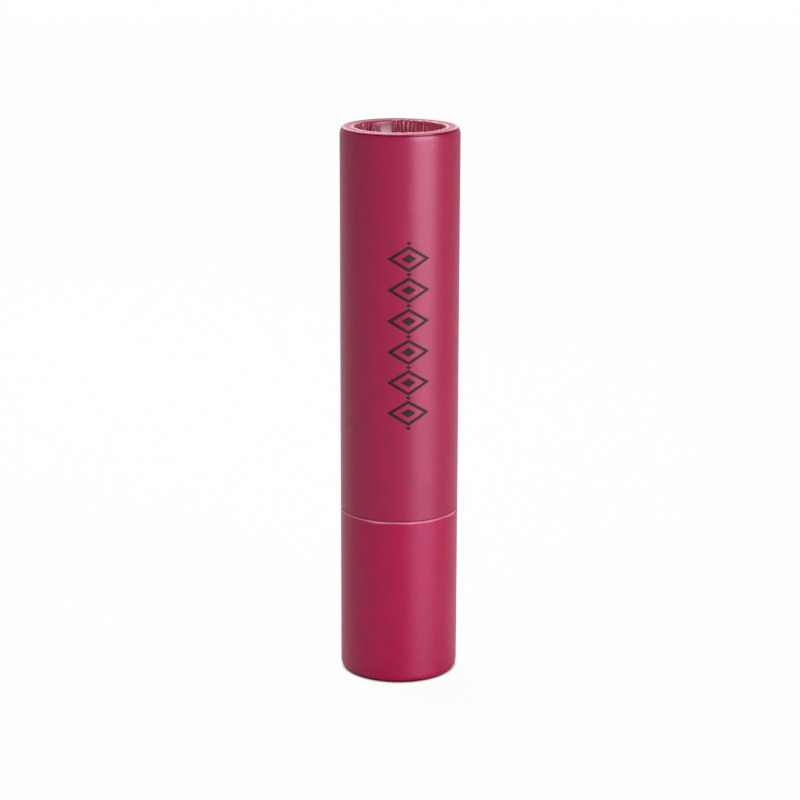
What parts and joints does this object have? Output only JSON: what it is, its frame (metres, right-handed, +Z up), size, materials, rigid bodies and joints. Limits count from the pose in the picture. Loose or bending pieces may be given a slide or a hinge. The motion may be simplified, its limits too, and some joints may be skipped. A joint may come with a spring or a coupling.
{
  "type": "lipstick",
  "caption": "Twist-up lipstick in a slim paperboard tube with rolled edges: turning the base lifts the cup and bullet, and the cap pulls off.",
  "frame": {"origin": "middle of the foot of the base, in the plane that the lipstick stands on", "axes": "+Z up along the tube, from the foot to the cap's rolled top"},
  "size_m": [0.02, 0.02, 0.0942],
  "materials": {
    "printed_paper": "satin laminate",
    "paperboard": "raw board",
    "neck_paper": "smooth uncoated",
    "white_plastic": "moulded",
    "brake_rubber": "matte",
    "pomade": "satin wax"
  },
  "bodies": {
    "base": {"base_wrap": "printed_paper", "base_tube": "paperboard", "base_end_disc": "printed_paper", "base_plug": "white_plastic", "slotted_sleeve": "white_plastic", "brake_ring": "brake_rubber"},
    "neck": {"neck_tube": "neck_paper", "cam_sleeve": "white_plastic"},
    "cup": {"bullet_cup": "white_plastic", "lipstick_bullet": "pomade"},
    "cap": {"cap_wrap": "printed_paper", "cap_tube": "paperboard", "cap_end_disc": "printed_paper"}
  },
  "joints": [
    {"name": "neck_twist", "type": "hinge", "parent": "base", "child": "neck", "pos_m": [0, 0, 0.02095], "axis": [0, 0, -1], "range_deg": [0, 450]},
    {"name": "cup_rise", "type": "slide", "parent": "base", "child": "cup", "axis": [0, 0, 1], "range_m": [0, 0.024]},
    {"name": "cap_pull", "type": "slide", "parent": "neck", "child": "cap", "axis": [0, 0, 1], "range_m": [0, 0.06]}
  ],
  "couplings": [
    {"joint": "cup_rise", "follows": "neck_twist", "m_per_rad": 0.0030558}
  ]
}
